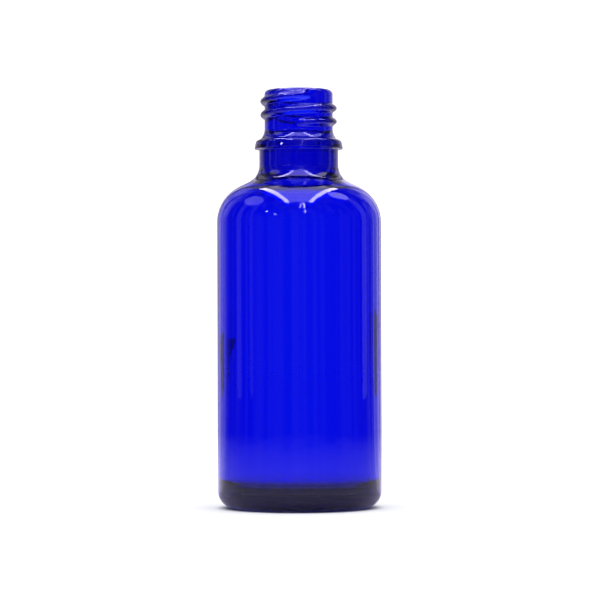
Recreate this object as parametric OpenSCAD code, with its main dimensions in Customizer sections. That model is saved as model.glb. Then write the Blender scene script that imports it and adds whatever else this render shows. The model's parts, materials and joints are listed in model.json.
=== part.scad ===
// Round glass bottle with a screw neck and a bead for a tamper ring.
// It stands on z = 0 with its axis on Z, and all sizes are in millimetres.

/* [Body] */
// Height from the table to the lip
overall_h = 94; // [76:0.5:125]
// Outside diameter of the round body
body_d = 37; // [30:0.5:46]
// Thickness of the wall in the body and the shoulder
wall_t = 2; // [1.4:0.1:2.8]
// Radius of the round shoulder
shoulder_r = 8.8; // [6:0.1:11]
// Slope of the shoulder between its two rounds, in degrees from level
shoulder_slope = 26; // [18:1:36]

/* [Base] */
// Radius of the round heel
heel_r = 4; // [2.5:0.1:5]
// Width of the flat ring that the bottle stands on
bearing_w = 1.3; // [0.6:0.1:2.4]
// Rise of the hollow underside at its centre
push_up_h = 1.6; // [0.6:0.1:2.6]
// Thickness of the glass at the centre of the base
base_t = 3.6; // [2.8:0.1:6]
// Radius inside, between the wall and the floor
inner_heel_r = 2.6; // [2:0.1:5]
// Rise of the inside floor from its edge to its centre
floor_crown_h = 0.8; // [0.2:0.1:1.6]

/* [Neck] */
// Diameter of the bore
bore_d = 10.4; // [8.4:0.1:12.5]
// Round on the outer edge of the lip
lip_r = 1; // [0.4:0.1:1.2]
// Round on the inner edge of the lip
mouth_r = 0.5; // [0.2:0.1:0.8]
// Step from the thread's root out to the lower neck
neck_step = 1.2; // [0.8:0.1:2]
// Height of the straight lower neck, below the bead
neck_h = 3.5; // [2:0.1:6]
// Radius of the hollow round between the neck and the shoulder
neck_foot_r = 4.3; // [2.5:0.1:5.5]
// Round inside, where the bore opens into the body
bore_foot_r = 3; // [0.8:0.1:3.6]

/* [Thread] */
// Outside diameter of the thread
thread_d = 17.3; // [15.6:0.1:21]
// Height of the ridge above its root
thread_h = 0.95; // [0.6:0.05:1.2]
// Width of the ridge at its root
thread_w = 2.1; // [1.4:0.1:2.3]
// Rise of the thread in one turn
thread_pitch = 3; // [2.5:0.1:4]
// Length of the thread, in turns
thread_turns = 2.2; // [1.2:0.1:3]
// Angle about the axis at which its lower end begins
thread_start = 243; // [0:1:359]
// Turn over which each end of the ridge rises from the root
thread_run_in = 70; // [20:5:90]
// Drop from the lip to the middle of the ridge's upper end
thread_drop = 1.5; // [1.3:0.1:3]
// Plain wall between the ridge's lower end and the flare
thread_gap = 0.7; // [0.2:0.1:3]

/* [Tamper bead] */
// Radius of the flare above the bead
flare_r = 3.2; // [1.8:0.1:5]
// How far the bead stands out from the lower neck
bead_out = 1.05; // [0.5:0.05:1.6]
// Height of the bead's side
bead_side_h = 1.15; // [0.6:0.05:2]
// Taper of the bead's side, in degrees
bead_taper = 10; // [0:1:15]
// Radius of the bead's round top
bead_top_r = 0.95; // [0.5:0.05:1.2]
// Round on the bead's lower edge
bead_edge_r = 0.25; // [0.1:0.05:0.4]
// Hollow round under the bead
bead_foot_r = 0.35; // [0.1:0.05:0.45]

/* [Hidden] */

// Fineness: degrees in one facet of a round, facets across the ridge and along one turn of it
arc_step = 5;
ridge_facets = 8;
turn_facets = 48;
// Depth in the wall at which the ridge's curve starts, and depth to which it is rooted
ridge_sink = 0.15;
ridge_root_depth = 0.6;

// Radii about the axis
body_r = body_d / 2;
bore_r = bore_d / 2;
root_r = thread_d / 2 - thread_h;
neck_r = root_r + neck_step;
bead_r = neck_r + bead_out;
inner_r = body_r - wall_t;
stand_r = body_r - heel_r;
push_up_r = stand_r - bearing_w;
floor_r = inner_r - inner_heel_r;

// The neck is set out from the lip downwards
lip_z = overall_h;
thread_top_z = lip_z - thread_drop;
thread_foot_z = thread_top_z - thread_pitch * thread_turns;
flare_z = thread_foot_z - thread_gap;
bead_top_x = bead_r - bead_side_h * tan(bead_taper) - bead_top_r * cos(bead_taper);
flare_used_r = max(flare_r, bead_top_x - root_r);
flare_turn = acos(1 - (bead_top_x - root_r) / flare_used_r);
bead_top_z = flare_z - flare_used_r * sin(flare_turn) - bead_top_r;
bead_z = bead_top_z + bead_top_r * sin(bead_taper) - bead_side_h - bead_edge_r;
neck_foot_z = bead_z - neck_h;

// The shoulder's two rounds and the slope that joins them, outside and inside.
// The big round gives way where the body is too slim to hold it.
slope_gain = 1 - sin(shoulder_slope);
shoulder_used_r = min(shoulder_r, (body_r - neck_r) / slope_gain - neck_foot_r);
shoulder_x = body_r - shoulder_used_r;
slope_top = [neck_r + neck_foot_r * slope_gain, neck_foot_z - neck_foot_r * cos(shoulder_slope)];
slope_foot_x = shoulder_x + shoulder_used_r * sin(shoulder_slope);
slope_foot_z = slope_top.y - (slope_foot_x - slope_top.x) * tan(shoulder_slope);
shoulder_z = slope_foot_z - shoulder_used_r * cos(shoulder_slope);
inner_slope_x = bore_r + bore_foot_r * slope_gain;
inner_slope_z = slope_top.y + (slope_top.x - inner_slope_x) * tan(shoulder_slope)
    - wall_t / cos(shoulder_slope);
bore_foot_z = inner_slope_z + bore_foot_r * cos(shoulder_slope);

// The floor is set out from the table upwards
floor_top_z = push_up_h + base_t;
floor_edge_z = floor_top_z - floor_crown_h;

// Points on a round about a centre, from one angle to the other
function arc(centre, r, from, to) =
    let (n = ceil(abs(to - from) / arc_step))
    [for (i = [0:n]) let (a = from + (to - from) * i / n) centre + r * [cos(a), sin(a)]];

// Radius of a shallow dome, and half the angle that it spans
function dome_r(r, rise) = (r * r + rise * rise) / (2 * rise);
function dome_turn(r, rise) = asin(r / dome_r(r, rise));

// Half section of the outside, from the centre of the underside up to the lip
outside = concat(
    arc([0, push_up_h - dome_r(push_up_r, push_up_h)], dome_r(push_up_r, push_up_h),
        90, 90 - dome_turn(push_up_r, push_up_h)),
    arc([stand_r, heel_r], heel_r, -90, 0),
    arc([shoulder_x, shoulder_z], shoulder_used_r, 0, 90 - shoulder_slope),
    arc([neck_r + neck_foot_r, neck_foot_z], neck_foot_r, 270 - shoulder_slope, 180),
    arc([neck_r + bead_foot_r, bead_z - bead_foot_r], bead_foot_r, 180, 90),
    arc([bead_r - bead_edge_r, bead_z + bead_edge_r], bead_edge_r, -90, bead_taper),
    arc([bead_top_x, bead_top_z], bead_top_r, bead_taper, 90),
    arc([root_r + flare_used_r, flare_z], flare_used_r, 180 + flare_turn, 180),
    arc([root_r - lip_r, lip_z - lip_r], lip_r, 0, 90)
);

// Half section of the inside, from the lip down to the centre of the floor
inside = concat(
    arc([bore_r + mouth_r, lip_z - mouth_r], mouth_r, 90, 180),
    arc([bore_r + bore_foot_r, bore_foot_z], bore_foot_r, 180, 270 - shoulder_slope),
    arc([shoulder_x, shoulder_z], shoulder_used_r - wall_t, 90 - shoulder_slope, 0),
    arc([floor_r, floor_edge_z + inner_heel_r], inner_heel_r, 0, -90),
    arc([0, floor_top_z - dome_r(floor_r, floor_crown_h)], dome_r(floor_r, floor_crown_h),
        90 - dome_turn(floor_r, floor_crown_h), 90)
);

// Height of the ridge as a share of its full height, for a turn measured from its lower end
ridge_turn = 360 * thread_turns;
function ridge_share(turn) = sin(90 * min(1, turn / thread_run_in, (ridge_turn - turn) / thread_run_in));

// One section of the ridge: a parabola that starts a little inside the wall, and two points deep in it
ridge_foot = thread_w / 2 * sqrt(1 + ridge_sink / thread_h);
function ridge_section(share) = concat(
    [for (i = [0:ridge_facets])
        let (v = 2 * i / ridge_facets - 1)
        [root_r - ridge_sink + (thread_h + ridge_sink) * share * (1 - v * v), ridge_foot * v]],
    [[root_r - ridge_root_depth, ridge_foot], [root_r - ridge_root_depth, -ridge_foot]]
);

// The right-handed ridge, swept up the helix through its sections
module thread_ridge() {
    rings = round(turn_facets * thread_turns);
    sides = ridge_facets + 3;
    points = [
        for (i = [0:rings])
            let (turn = ridge_turn * i / rings, angle = thread_start + turn)
            let (z = thread_foot_z + thread_pitch * turn / 360)
            for (p = ridge_section(ridge_share(turn))) [p.x * cos(angle), p.x * sin(angle), z + p.y]
    ];
    sides_faces = [
        for (i = [0:rings - 1], j = [0:sides - 1])
            let (a = i * sides + j, b = i * sides + (j + 1) % sides)
            each [[a, b, b + sides], [a, b + sides, a + sides]]
    ];
    last = rings * sides;
    end_faces = [
        for (j = [1:sides - 2])
            each [[sides - 1, j, j - 1], [last + sides - 1, last + j - 1, last + j]]
    ];
    polyhedron(points, concat(sides_faces, end_faces), convexity = 6);
}

module glass_bottle() {
    color([0.03, 0.06, 0.8, 0.7]) {
        union() {
            rotate_extrude($fn = 128) polygon(concat(outside, inside));
            thread_ridge();
        }
    }
}

glass_bottle();
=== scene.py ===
import bpy
import json
import math
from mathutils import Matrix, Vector


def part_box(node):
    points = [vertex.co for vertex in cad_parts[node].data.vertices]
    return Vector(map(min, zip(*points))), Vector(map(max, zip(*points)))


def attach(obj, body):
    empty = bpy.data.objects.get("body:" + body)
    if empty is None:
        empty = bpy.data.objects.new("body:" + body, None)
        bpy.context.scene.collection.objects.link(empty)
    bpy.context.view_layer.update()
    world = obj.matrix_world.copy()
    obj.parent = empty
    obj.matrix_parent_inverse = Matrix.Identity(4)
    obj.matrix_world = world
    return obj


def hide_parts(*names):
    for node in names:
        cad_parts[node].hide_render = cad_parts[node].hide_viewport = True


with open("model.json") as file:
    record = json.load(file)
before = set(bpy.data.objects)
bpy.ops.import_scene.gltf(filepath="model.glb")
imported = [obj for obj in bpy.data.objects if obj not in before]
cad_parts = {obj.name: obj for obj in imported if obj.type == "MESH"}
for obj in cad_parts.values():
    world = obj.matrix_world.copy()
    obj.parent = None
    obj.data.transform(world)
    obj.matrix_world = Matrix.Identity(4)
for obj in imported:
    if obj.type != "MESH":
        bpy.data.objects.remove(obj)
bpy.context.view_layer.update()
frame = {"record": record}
scene = bpy.context.scene
mm = 0.001

# ---------------------------------------------------------------------------
# Camera: a long lens, level with the middle of the bottle and a little over
# half a metre in front of it, so the neck is seen slightly from below.
# ---------------------------------------------------------------------------
eye_height = 42.2 * mm
eye_distance = 587 * mm
eye_aside = 0.16 * mm
tilt_up = math.radians(0.44)
lean = math.radians(0.19)

lens = bpy.data.cameras.new("long_lens")
lens.sensor_width = 36
lens.lens = 156.5
camera = bpy.data.objects.new("camera", lens)
camera.location = (eye_aside, -eye_distance, eye_height)
camera.rotation_euler = (math.radians(90) + tilt_up, lean, 0)
scene.collection.objects.link(camera)
scene.camera = camera

# ---------------------------------------------------------------------------
# Glass bottle: one piece of cobalt blue container glass. The neck ring is
# pressed first and the body is blown in a two-part mould, which leaves fine
# seams, a ring round the heel, and a wall that is a little uneven inside.
# ---------------------------------------------------------------------------
mounts = {mount["name"]: mount for mount in frame["record"]["mounts"]}
bottle_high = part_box("glass_bottle")[1]
seam_on_body = 0.03 * mm
seam_on_neck = 0.07 * mm
body_r = bottle_high[1] - seam_on_body
lip_z = bottle_high[2]
wall = 2.0 * mm
shoulder_r = 8.8 * mm
slope = math.radians(26)
heel_r = 4.0 * mm
bearing_w = 1.3 * mm
push_up_h = 1.6 * mm
base_t = 3.6 * mm
inner_heel_r = 2.6 * mm
floor_crown_h = 0.8 * mm
bore_r = mounts["neck_bore"]["dims"]["r_mm"] * mm
lip_r = 1.0 * mm
mouth_r = 0.5 * mm
neck_r = mounts["lower_neck"]["dims"]["r_mm"] * mm
neck_h = 3.5 * mm
neck_foot_r = 4.3 * mm
bore_foot_r = 3.0 * mm
thread_h = 0.95 * mm
thread_half_w = 1.05 * mm
thread_pitch = 3.0 * mm
thread_turns = 2.2
thread_start = math.radians(243)
thread_run_in = 70 / 360  # of a turn
thread_root_round = 0.22 * mm
thread_drop = 1.5 * mm
thread_gap = 0.7 * mm
root_r = mounts["neck_thread"]["dims"]["r_mm"] * mm - thread_h
flare_r = 3.2 * mm
bead_r = neck_r + 1.05 * mm
bead_side_h = 1.15 * mm
bead_taper = math.radians(10)
bead_top_r = 0.95 * mm
bead_edge_r = 0.25 * mm
bead_foot_r = 0.35 * mm

# The neck is set out from the lip downwards, and the shoulder from the neck to the body
thread_foot_z = lip_z - thread_drop - thread_pitch * thread_turns
flare_z = thread_foot_z - thread_gap
bead_top_x = bead_r - bead_side_h * math.tan(bead_taper) - bead_top_r * math.cos(bead_taper)
flare_turn = math.acos(1 - (bead_top_x - root_r) / flare_r)
bead_top_z = flare_z - flare_r * math.sin(flare_turn) - bead_top_r
bead_z = bead_top_z + bead_top_r * math.sin(bead_taper) - bead_side_h - bead_edge_r
neck_foot_z = bead_z - neck_h
slope_gain = 1 - math.sin(slope)
slope_top_x = neck_r + neck_foot_r * slope_gain
slope_top_z = neck_foot_z - neck_foot_r * math.cos(slope)
shoulder_x = body_r - shoulder_r
slope_foot_x = shoulder_x + shoulder_r * math.sin(slope)
slope_foot_z = slope_top_z - (slope_foot_x - slope_top_x) * math.tan(slope)
shoulder_z = slope_foot_z - shoulder_r * math.cos(slope)
inner_slope_x = bore_r + bore_foot_r * slope_gain
inner_slope_z = slope_top_z + (slope_top_x - inner_slope_x) * math.tan(slope) - wall / math.cos(slope)
bore_foot_z = inner_slope_z + bore_foot_r * math.cos(slope)
stand_r = body_r - heel_r
push_up_r = stand_r - bearing_w
floor_r = body_r - wall - inner_heel_r
floor_top_z = push_up_h + base_t
floor_edge_z = floor_top_z - floor_crown_h


def arc(x, z, r, start, end, steps):
    """Points on a round about (x, z), from one angle to the other, in degrees."""
    turns = [math.radians(start + (end - start) * i / steps) for i in range(steps + 1)]
    return [(x + r * math.cos(turn), z + r * math.sin(turn)) for turn in turns]


def straight(line, x, z, steps):
    """The points after the line's last one, on a straight stretch to (x, z), without (x, z) itself."""
    x0, z0 = line[-1]
    return [(x0 + (x - x0) * i / steps, z0 + (z - z0) * i / steps) for i in range(1, steps)]


def dome(r, top_z, rise, steps):
    """Points on a shallow dome, from its centre on the axis out to its edge."""
    big_r = (r * r + rise * rise) / (2 * rise)
    return arc(0, top_z - big_r, big_r, 90, 90 - math.degrees(math.asin(r / big_r)), steps)


slope_deg = math.degrees(slope)
outline = dome(push_up_r, push_up_h, push_up_h, 10)
outline += straight(outline, stand_r, 0, 6)
outline += arc(stand_r, heel_r, heel_r, -90, -36, 10) + arc(stand_r, heel_r, heel_r, -34, -4, 22)[:-1]
outline += arc(stand_r, heel_r, heel_r, -4, 0, 1)
outline += straight(outline, body_r, shoulder_z, 28)
outline += arc(shoulder_x, shoulder_z, shoulder_r, 0, 90 - slope_deg, 22)
outline += straight(outline, slope_top_x, slope_top_z, 3)
outline += arc(neck_r + neck_foot_r, neck_foot_z, neck_foot_r, 270 - slope_deg, 180, 14)
outline += straight(outline, neck_r, bead_z - bead_foot_r, 4)
outline += arc(neck_r + bead_foot_r, bead_z - bead_foot_r, bead_foot_r, 180, 90, 5)
outline += arc(bead_r - bead_edge_r, bead_z + bead_edge_r, bead_edge_r, -90, math.degrees(bead_taper), 7)
outline += straight(outline, bead_top_x + bead_top_r * math.cos(bead_taper),
                    bead_top_z + bead_top_r * math.sin(bead_taper), 4)
outline += arc(bead_top_x, bead_top_z, bead_top_r, math.degrees(bead_taper), 90, 10)
outline += arc(root_r + flare_r, flare_z, flare_r, 180 + math.degrees(flare_turn), 180, 12)[1:]
outline += straight(outline, root_r, lip_z - lip_r, 68)
outline += arc(root_r - lip_r, lip_z - lip_r, lip_r, 0, 90, 10)
outline += straight(outline, bore_r + mouth_r, lip_z, 4)
outside_rows = len(outline)
outline += arc(bore_r + mouth_r, lip_z - mouth_r, mouth_r, 90, 180, 8)
outline += straight(outline, bore_r, bore_foot_z, 14)
outline += arc(bore_r + bore_foot_r, bore_foot_z, bore_foot_r, 180, 270 - slope_deg, 8)
outline += straight(outline, shoulder_x + (shoulder_r - wall) * math.sin(slope),
                    shoulder_z + (shoulder_r - wall) * math.cos(slope), 5)
outline += arc(shoulder_x, shoulder_z, shoulder_r - wall, 90 - slope_deg, 0, 16)
outline += straight(outline, body_r - wall, floor_edge_z + inner_heel_r, 24)
outline += arc(floor_r, floor_edge_z + inner_heel_r, inner_heel_r, 0, -90, 14)
outline += dome(floor_r, floor_top_z, floor_crown_h, 10)[-2::-1]


def add(tree, kind, inputs=(), **settings):
    """Adds a node with its settings. Its inputs, by place or by name, are values, nodes or sockets."""
    node = tree.nodes.new(kind)
    for name, value in settings.items():
        setattr(node, name, value)
    for key, value in inputs.items() if isinstance(inputs, dict) else enumerate(inputs):
        if isinstance(value, bpy.types.Node):
            value = value.outputs[0]
        if isinstance(value, bpy.types.NodeSocket):
            tree.links.new(value, node.inputs[key])
        else:
            node.inputs[key].default_value = value
    return node


def linear(hex_colour):
    """An sRGB hex colour as linear light."""
    parts = [int(hex_colour[i:i + 2], 16) / 255 for i in (1, 3, 5)]
    return tuple(c / 12.92 if c <= 0.04045 else ((c + 0.055) / 1.055) ** 2.4 for c in parts) + (1,)


# Glassmaking as a rule: the outline is turned about the axis, then the thread, the seams, the heel's
# ring and the bars under the base are raised on it, and the wall inside is made uneven.
MATH = "ShaderNodeMath"
turning = bpy.data.node_groups.new("bottle_turning", "GeometryNodeTree")
sizes = {
    "Rows": len(outline), "Outside rows": outside_rows, "Columns": 257, "Crowding at the seams": 0.17,
    "Thread start": thread_start, "Thread foot": thread_foot_z, "Thread pitch": thread_pitch,
    "Thread height": thread_h, "Thread half width": thread_half_w, "Thread turns": thread_turns,
    "Thread run-in": thread_run_in, "Thread root round": thread_root_round,
    "Bead underside": bead_z, "Seam on neck": seam_on_neck, "Seam on body": seam_on_body,
    "Seam half width": 0.3 * mm, "Ring height": 2.7 * mm, "Ring half width": 0.16 * mm,
    "Ring rise": 0.05 * mm, "Bars": 40, "Bar depth": 0.12 * mm, "Bar inner radius": push_up_r,
    "Bar outer radius": stand_r + 0.9 * mm, "Uneven wall": 0.16 * mm, "Inner radius": body_r - wall,
}
turning.interface.new_socket("Outline", in_out="INPUT", socket_type="NodeSocketGeometry")
sockets = {}
for name, value in sizes.items():
    kind = "NodeSocketInt" if isinstance(value, int) else "NodeSocketFloat"
    sockets[name] = turning.interface.new_socket(name, in_out="INPUT", socket_type=kind).identifier
sockets["Glass"] = turning.interface.new_socket(
    "Glass", in_out="INPUT", socket_type="NodeSocketMaterial").identifier
turning.interface.new_socket("Bottle", in_out="OUTPUT", socket_type="NodeSocketGeometry")
given = add(turning, "NodeGroupInput").outputs

# Each vertex of a flat grid takes its angle from its column and its outline point from its row
grid = add(turning, "GeometryNodeMeshGrid", {"Size X": 1.0, "Size Y": 1.0,
           "Vertices X": given["Columns"], "Vertices Y": given["Rows"]})
place = add(turning, "GeometryNodeInputPosition")
across = add(turning, "ShaderNodeSeparateXYZ", (place,)).outputs
even_angle = add(turning, MATH, (across["X"], 0.5), operation="ADD")
even_angle = add(turning, MATH, (even_angle, 2 * math.pi), operation="MULTIPLY")
double_angle = add(turning, MATH, (even_angle, 2.0), operation="MULTIPLY")
crowd = add(turning, MATH, (double_angle,), operation="SINE")
angle = add(turning, MATH, (crowd, given["Crowding at the seams"], even_angle), operation="MULTIPLY_ADD")
row = add(turning, MATH, (across["Y"], 0.5), operation="ADD")
last_row = add(turning, MATH, (given["Rows"], 1.0), operation="SUBTRACT")
row = add(turning, MATH, (row, last_row), operation="MULTIPLY")
row = add(turning, MATH, (row,), operation="ROUND")
outline_point = add(turning, "GeometryNodeSampleIndex", {"Geometry": given["Outline"], "Value": place,
                    "Index": row}, data_type="FLOAT_VECTOR")
point = add(turning, "ShaderNodeSeparateXYZ", (outline_point,)).outputs
radius, height = point["X"], point["Z"]
outside = add(turning, MATH, (row, given["Outside rows"]), operation="LESS_THAN")
inside = add(turning, MATH, (1.0, outside), operation="SUBTRACT")
cosine = add(turning, MATH, (angle,), operation="COSINE")
sine = add(turning, MATH, (angle,), operation="SINE")

# The thread: the nearest turn of the helix, the distance from it, and the ridge at that distance
turn = add(turning, MATH, (angle, given["Thread start"]), operation="SUBTRACT")
turn = add(turning, MATH, (turn, 2 * math.pi), operation="DIVIDE")
turn = add(turning, MATH, (turn,), operation="FRACT")
rise = add(turning, MATH, (height, given["Thread foot"]), operation="SUBTRACT")
whole = add(turning, MATH, (rise, given["Thread pitch"]), operation="DIVIDE")
whole = add(turning, MATH, (whole, turn), operation="SUBTRACT")
whole = add(turning, MATH, (whole,), operation="ROUND")
whole = add(turning, MATH, (whole, 0.0), operation="MAXIMUM")
turn = add(turning, MATH, (turn, whole), operation="ADD")
left = add(turning, MATH, (given["Thread turns"], turn), operation="SUBTRACT")
nearest_end = add(turning, MATH, (turn, left), operation="MINIMUM")
share = add(turning, "ShaderNodeMapRange", {"Value": nearest_end, "From Max": given["Thread run-in"]},
            interpolation_type="SMOOTHSTEP")
helix = add(turning, MATH, (turn, given["Thread pitch"]), operation="MULTIPLY")
away = add(turning, MATH, (rise, helix), operation="SUBTRACT")
away = add(turning, MATH, (away, given["Thread half width"]), operation="DIVIDE")
away = add(turning, MATH, (away, away), operation="MULTIPLY")
crown = add(turning, MATH, (1.0, away), operation="SUBTRACT")
crown = add(turning, MATH, (crown, given["Thread height"]), operation="MULTIPLY")
crown = add(turning, MATH, (crown, share), operation="MULTIPLY")
sunk = add(turning, MATH, (share, 1.0), operation="SUBTRACT")
crown = add(turning, MATH, (sunk, given["Thread root round"], crown), operation="MULTIPLY_ADD")
ridge = add(turning, MATH, (crown, 0.0, given["Thread root round"]), operation="SMOOTH_MAX")

# The seams: two thin lines up the front and the back, bolder on the neck ring than on the body
off_seam = add(turning, MATH, (radius, cosine), operation="MULTIPLY")
off_seam = add(turning, MATH, (off_seam, given["Seam half width"]), operation="DIVIDE")
off_seam = add(turning, MATH, (off_seam, off_seam), operation="MULTIPLY")
seam = add(turning, MATH, (1.0, off_seam), operation="SUBTRACT")
seam = add(turning, MATH, (seam, 0.0), operation="MAXIMUM")
on_neck = add(turning, MATH, (height, given["Bead underside"]), operation="GREATER_THAN")
seam_rise = add(turning, "ShaderNodeMapRange", {"Value": on_neck, "To Min": given["Seam on body"],
                "To Max": given["Seam on neck"]})
above_ring = add(turning, MATH, (height, given["Ring height"]), operation="GREATER_THAN")
seam = add(turning, MATH, (seam, seam_rise), operation="MULTIPLY")
seam = add(turning, MATH, (seam, above_ring), operation="MULTIPLY")

# The ring where the base plate of the mould met its sides
off_ring = add(turning, MATH, (height, given["Ring height"]), operation="SUBTRACT")
off_ring = add(turning, MATH, (off_ring, given["Ring half width"]), operation="DIVIDE")
off_ring = add(turning, MATH, (off_ring, off_ring), operation="MULTIPLY")
ring = add(turning, MATH, (1.0, off_ring), operation="SUBTRACT")
ring = add(turning, MATH, (ring, 0.0), operation="MAXIMUM")
ring = add(turning, MATH, (ring, given["Ring rise"]), operation="MULTIPLY")
raised = add(turning, MATH, (ridge, seam), operation="ADD")
raised = add(turning, MATH, (raised, ring), operation="ADD")
raised = add(turning, MATH, (raised, outside), operation="MULTIPLY")

# The blown wall: soft waves on the inside, about 11 mm wide and 60 mm long, and none on the axis
turned_x = add(turning, MATH, (radius, cosine), operation="MULTIPLY")
turned_y = add(turning, MATH, (radius, sine), operation="MULTIPLY")
turned = add(turning, "ShaderNodeCombineXYZ", (turned_x, turned_y, height))
waves_at = add(turning, "ShaderNodeVectorMath", (turned, (90, 90, 16)), operation="MULTIPLY")
waves = add(turning, "ShaderNodeTexNoise", {"Vector": waves_at, "Scale": 1.0, "Detail": 1.5},
            noise_dimensions="3D")
waves = add(turning, MATH, (waves, 0.5), operation="SUBTRACT")
waves = add(turning, MATH, (waves, given["Uneven wall"]), operation="MULTIPLY")
from_axis = add(turning, MATH, (radius, given["Inner radius"]), operation="DIVIDE")
waves = add(turning, MATH, (waves, from_axis), operation="MULTIPLY")
waves = add(turning, MATH, (waves, inside), operation="MULTIPLY")
raised = add(turning, MATH, (raised, waves), operation="ADD")
finished_r = add(turning, MATH, (radius, raised), operation="ADD")

# The bars under the base, between which the bearing ring is a little higher
bar = add(turning, MATH, (angle, given["Bars"]), operation="MULTIPLY")
bar = add(turning, MATH, (bar,), operation="SINE")
bar = add(turning, MATH, (bar, 0.5, 0.5), operation="MULTIPLY_ADD")
past_inner = add(turning, MATH, (radius, given["Bar inner radius"]), operation="GREATER_THAN")
before_outer = add(turning, "ShaderNodeMapRange", {"Value": radius, "From Min": given["Bar outer radius"],
                   "From Max": stand_r})
bar = add(turning, MATH, (bar, past_inner), operation="MULTIPLY")
bar = add(turning, MATH, (bar, before_outer), operation="MULTIPLY")
low_enough = add(turning, MATH, (height, given["Ring height"]), operation="LESS_THAN")
bar = add(turning, MATH, (bar, low_enough), operation="MULTIPLY")
bar = add(turning, MATH, (bar, outside), operation="MULTIPLY")
finished_z = add(turning, MATH, (bar, given["Bar depth"], height), operation="MULTIPLY_ADD")

finished_x = add(turning, MATH, (finished_r, cosine), operation="MULTIPLY")
finished_y = add(turning, MATH, (finished_r, sine), operation="MULTIPLY")
finished = add(turning, "ShaderNodeCombineXYZ", (finished_x, finished_y, finished_z))
shaped = add(turning, "GeometryNodeSetPosition", {"Geometry": grid, "Position": finished})
closed = add(turning, "GeometryNodeMergeByDistance", {"Geometry": shaped, "Distance": 0.001 * mm})
smooth = add(turning, "GeometryNodeSetShadeSmooth", {"Geometry": closed})
real = add(turning, "GeometryNodeRealizeInstances", {"Geometry": smooth})
glazed = add(turning, "GeometryNodeSetMaterial", {"Geometry": real, "Material": given["Glass"]})
add(turning, "NodeGroupOutput", (glazed,))

# Cobalt blue container glass, blown in a cast iron mould: a clear, glossy, slightly rippled skin, and a
# body so strong in colour that a wall of 2 mm lets only blue through.
glass = bpy.data.materials.new("cobalt_blue_container_glass")
glass.use_nodes = True
shader = glass.node_tree
shader.nodes.clear()
on_glass = add(shader, "ShaderNodeTexCoord").outputs["Object"]
ripples = add(shader, "ShaderNodeTexNoise", {"Vector": on_glass, "Scale": 1 / (7 * mm), "Detail": 2.0})
orange_peel = add(shader, "ShaderNodeTexNoise", {"Vector": on_glass, "Scale": 1 / (1.2 * mm),
                  "Detail": 1.0})
skin = add(shader, MATH, (orange_peel, 0.12, ripples), operation="MULTIPLY_ADD")
bump = add(shader, "ShaderNodeBump", {"Height": skin, "Strength": 0.25, "Distance": 0.06 * mm})
handling = add(shader, "ShaderNodeTexNoise", {"Vector": on_glass, "Scale": 1 / (14 * mm), "Detail": 5.0})
gloss = add(shader, "ShaderNodeMapRange", {"Value": handling, "From Min": 0.45, "From Max": 0.75,
            "To Min": 0.0, "To Max": 0.02})
surface = add(shader, "ShaderNodeBsdfPrincipled", {
    "Base Color": linear("#ffffff"), "Roughness": gloss, "IOR": 1.52, "Transmission Weight": 1.0,
    "Normal": bump})
# What the glass takes from light, per metre: nearly all red and green, and little blue
colour_of_body = add(shader, "ShaderNodeVolumeAbsorption", {"Color": linear("#0079f7"), "Density": 1750.0})
add(shader, "ShaderNodeOutputMaterial", {"Surface": surface, "Volume": colour_of_body})

outline_mesh = bpy.data.meshes.new("bottle_outline")
outline_mesh.from_pydata([(x, 0, z) for x, z in outline],
                         [(i, i + 1) for i in range(len(outline) - 1)], [])
turned_outline = bpy.data.objects.new("bottle_outline", outline_mesh)
scene.collection.objects.link(turned_outline)
making = turned_outline.modifiers.new("turning", "NODES")
making.node_group = turning
for name, value in sizes.items():
    making[sockets[name]] = value
making[sockets["Glass"]] = glass
made = turned_outline.evaluated_get(bpy.context.evaluated_depsgraph_get())
bottle_mesh = bpy.data.meshes.new_from_object(made)
bottle_mesh.name = "cobalt_glass_bottle"
bpy.data.objects.remove(turned_outline)
bottle = bpy.data.objects.new("cobalt_glass_bottle", bottle_mesh)
scene.collection.objects.link(bottle)
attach(bottle, "root")
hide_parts("glass_bottle")

# ---------------------------------------------------------------------------
# Studio: a plain white table in a white tent that is open and unlit towards
# the camera, so the glass glows from behind and mirrors little in front.
# ---------------------------------------------------------------------------
scene.view_settings.view_transform = "Standard"

# The radiance of the tent, and the faint lilac of what the glass mirrors
tent_radiance = 1.34
lilac = linear("#e2d9ff")


def mirrored_light(tree, direction):
    """Adds the light that the glass mirrors from a direction: bright behind, dim beside, with soft folds."""
    backward = add(tree, "ShaderNodeSeparateXYZ", (direction,)).outputs["Y"]
    wall = add(tree, "ShaderNodeMapRange", {"Value": backward, "From Min": 0.28, "To Min": 0.07,
               "To Max": 0.95}, interpolation_type="SMOOTHSTEP")
    tall_folds = (6, 6, 0.4)
    folds_at = add(tree, "ShaderNodeVectorMath", (direction, tall_folds), operation="MULTIPLY")
    folds = add(tree, "ShaderNodeTexNoise", {"Vector": folds_at, "Scale": 1.0, "Detail": 3.0})
    folds = add(tree, "ShaderNodeMapRange", {"Value": folds, "From Min": 0.42, "From Max": 0.6,
                "To Min": 0.3, "To Max": 1.8})
    return add(tree, MATH, (wall, folds), operation="MULTIPLY")


def seen_in_glass(tree):
    """Adds a value that is 1 for what the glass mirrors and 0 for the rest."""
    path = add(tree, "ShaderNodeLightPath").outputs
    return add(tree, MATH, (path["Is Glossy Ray"], path["Is Reflection Ray"]), operation="MULTIPLY")


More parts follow.
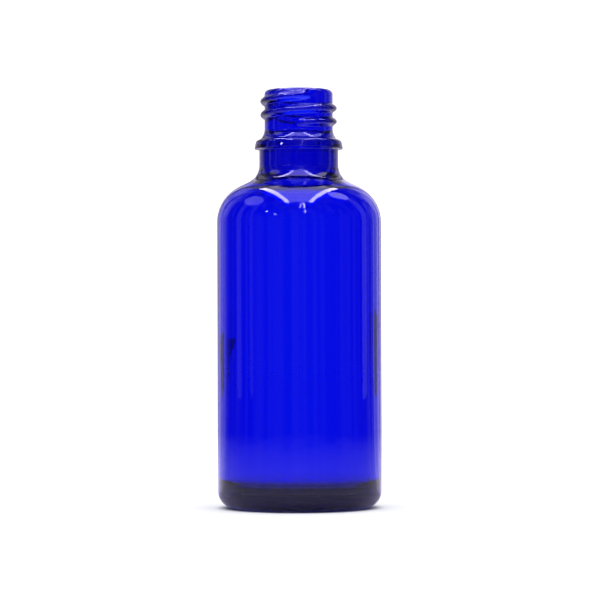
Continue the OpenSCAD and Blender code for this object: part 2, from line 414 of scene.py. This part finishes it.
# Matt white paint on the table, with a painted shadow under the bottle where no light gets in. What the
# glass
# mirrors of it is a painted reflection: as bright as the tent behind it, and brighter close to the bottle.
table_paint = bpy.data.materials.new("white_table_paint_and_painted_light")
table_paint.use_nodes = True
paint = table_paint.node_tree
paint.nodes.clear()
on_table = add(paint, "ShaderNodeTexCoord").outputs["Object"]
distance = add(paint, "ShaderNodeVectorMath", (on_table,), operation="LENGTH").outputs["Value"]
direction = add(paint, "ShaderNodeVectorMath", (on_table,), operation="NORMALIZE")
far_light = add(paint, MATH, (mirrored_light(paint, direction), tent_radiance), operation="DIVIDE")
# Painted light: the table shows brighter in the glass close to the bottle, a painted pool of light
near_light = add(paint, "ShaderNodeMapRange", {"Value": distance, "From Min": 50 * mm, "From Max": 400 * mm,
                 "To Min": 0.7, "To Max": 0.0})
mirror_light = add(paint, MATH, (far_light, near_light), operation="ADD")
# Painted reflection: a lilac colour, scaled by that light, that only the glass sees on the table
painted_reflection_colour = add(paint, "ShaderNodeVectorMath", {0: lilac[:3], "Scale": mirror_light}, operation="SCALE")
# Painted shadow: the table's colour goes dark round the bottle's foot, in place of the shade that the glass
# casts
shadow = add(paint, "ShaderNodeMapRange", {"Value": distance, "From Min": 14 * mm, "From Max": 19.6 * mm},
             interpolation_type="SMOOTHSTEP")
matt = add(paint, "ShaderNodeBsdfDiffuse", {"Color": shadow})
painted_reflection_matt = add(paint, "ShaderNodeBsdfDiffuse", {"Color": painted_reflection_colour})
painted = add(paint, "ShaderNodeMixShader", (seen_in_glass(paint), matt, painted_reflection_matt))
add(paint, "ShaderNodeOutputMaterial", {"Surface": painted})
bpy.ops.mesh.primitive_circle_add(vertices=96, radius=1.5, fill_type="NGON", location=(0, 0, 0))
table = bpy.context.active_object
table.name = "white_table"
table.data.materials.append(table_paint)

# The white tent lights everything evenly, and the glass mirrors its folds
tent = bpy.data.worlds.new("white_tent")
tent.use_nodes = True
scene.world = tent
air = tent.node_tree
air.nodes.clear()
towards = add(air, "ShaderNodeTexCoord").outputs["Generated"]
lit_wall = add(air, "ShaderNodeBackground", {"Color": linear("#ffffff"), "Strength": tent_radiance})
mirrored_wall = add(air, "ShaderNodeBackground", {"Color": lilac, "Strength": mirrored_light(air, towards)})
tent_light = add(air, "ShaderNodeMixShader", (seen_in_glass(air), lit_wall, mirrored_wall))
add(air, "ShaderNodeOutputWorld", {"Surface": tent_light})

# Soft lamps that only make highlights. Each has its place, its size, its radiance, and its turn about
# the vertical in degrees, or None where it faces the shoulder.
shoulder_centre = Vector((0, 0, shoulder_z))
lamps = {
    "ceiling": ((0, -40, 610), (360, 760), 2.2, 0),
    "left_strip": ((-190, -50, 600), (55, 760), 14.0, 5),
    "right_strip": ((190, -50, 600), (55, 760), 14.0, -5),
    "left_panel": ((-400, -15, 455), (300, 200), 1.1, None),
    "right_panel": ((315, 45, 515), (190, 220), 2.4, None),
    "front_tube_1": ((-20, -445, 465), (9, 150), 34.0, None),
    "front_tube_2": ((65, -445, 465), (9, 150), 34.0, None),
    "front_tube_3": ((30, -550, 310), (9, 90), 30.0, None),
    "front_tube_4": ((90, -550, 310), (9, 90), 30.0, None),
    "right_wall": ((780, 180, 300), (150, 900), 0.4, None),
    "left_fold_1": ((-800, 30, 300), (130, 900), 0.25, None),
    "left_fold_2": ((-750, -275, 300), (90, 900), 0.2, None),
    "side_dash_1": ((-405, -375, 300), (55, 20), 22.0, None),
    "side_dash_2": ((-320, -480, 230), (55, 20), 22.0, None),
}
for name, (place_mm, size_mm, radiance, turn_deg) in lamps.items():
    lamp = bpy.data.lights.new(name, "AREA")
    lamp.shape = "ELLIPSE" if "panel" in name else "RECTANGLE"
    lamp.size, lamp.size_y = (side * mm for side in size_mm)
    lamp.energy = radiance * math.pi * lamp.size * lamp.size_y
    lamp.color = lilac[:3]
    stand = bpy.data.objects.new(name, lamp)
    stand.location = Vector(place_mm) * mm
    if turn_deg is None:
        stand.rotation_euler = (stand.location - shoulder_centre).to_track_quat("Z", "Y").to_euler()
    else:
        stand.rotation_euler.z = math.radians(turn_deg)
    stand.visible_diffuse = False
    scene.collection.objects.link(stand)

# Two grey cards stand behind the bottle, out of sight, and show as dark smudges in the sides of the glass
card_paint = bpy.data.materials.new("grey_card")
card_paint.use_nodes = True
card_nodes = card_paint.node_tree
card_nodes.nodes.clear()
grey = add(card_nodes, "ShaderNodeBsdfDiffuse", {"Color": linear("#66646c")})
add(card_nodes, "ShaderNodeOutputMaterial", {"Surface": grey})
cards = {
    "left_card": ((-330, 390, 12), (-260, 425, 8), (-125, 485, 34), (-330, 390, 36)),
    "right_card": ((260, 425, 10), (330, 380, 14), (330, 380, 46), (200, 465, 46)),
}
for name, corners_mm in cards.items():
    card_mesh = bpy.data.meshes.new(name)
    card_mesh.from_pydata([Vector(corner) * mm for corner in corners_mm], [], [(0, 1, 2, 3)])
    card_mesh.materials.append(card_paint)
    card = bpy.data.objects.new(name, card_mesh)
    card.visible_camera = False
    card.visible_glossy = False
    card.visible_diffuse = False
    card.visible_shadow = False
    scene.collection.objects.link(card)

scene.cycles.max_bounces = 24
scene.cycles.transmission_bounces = 24
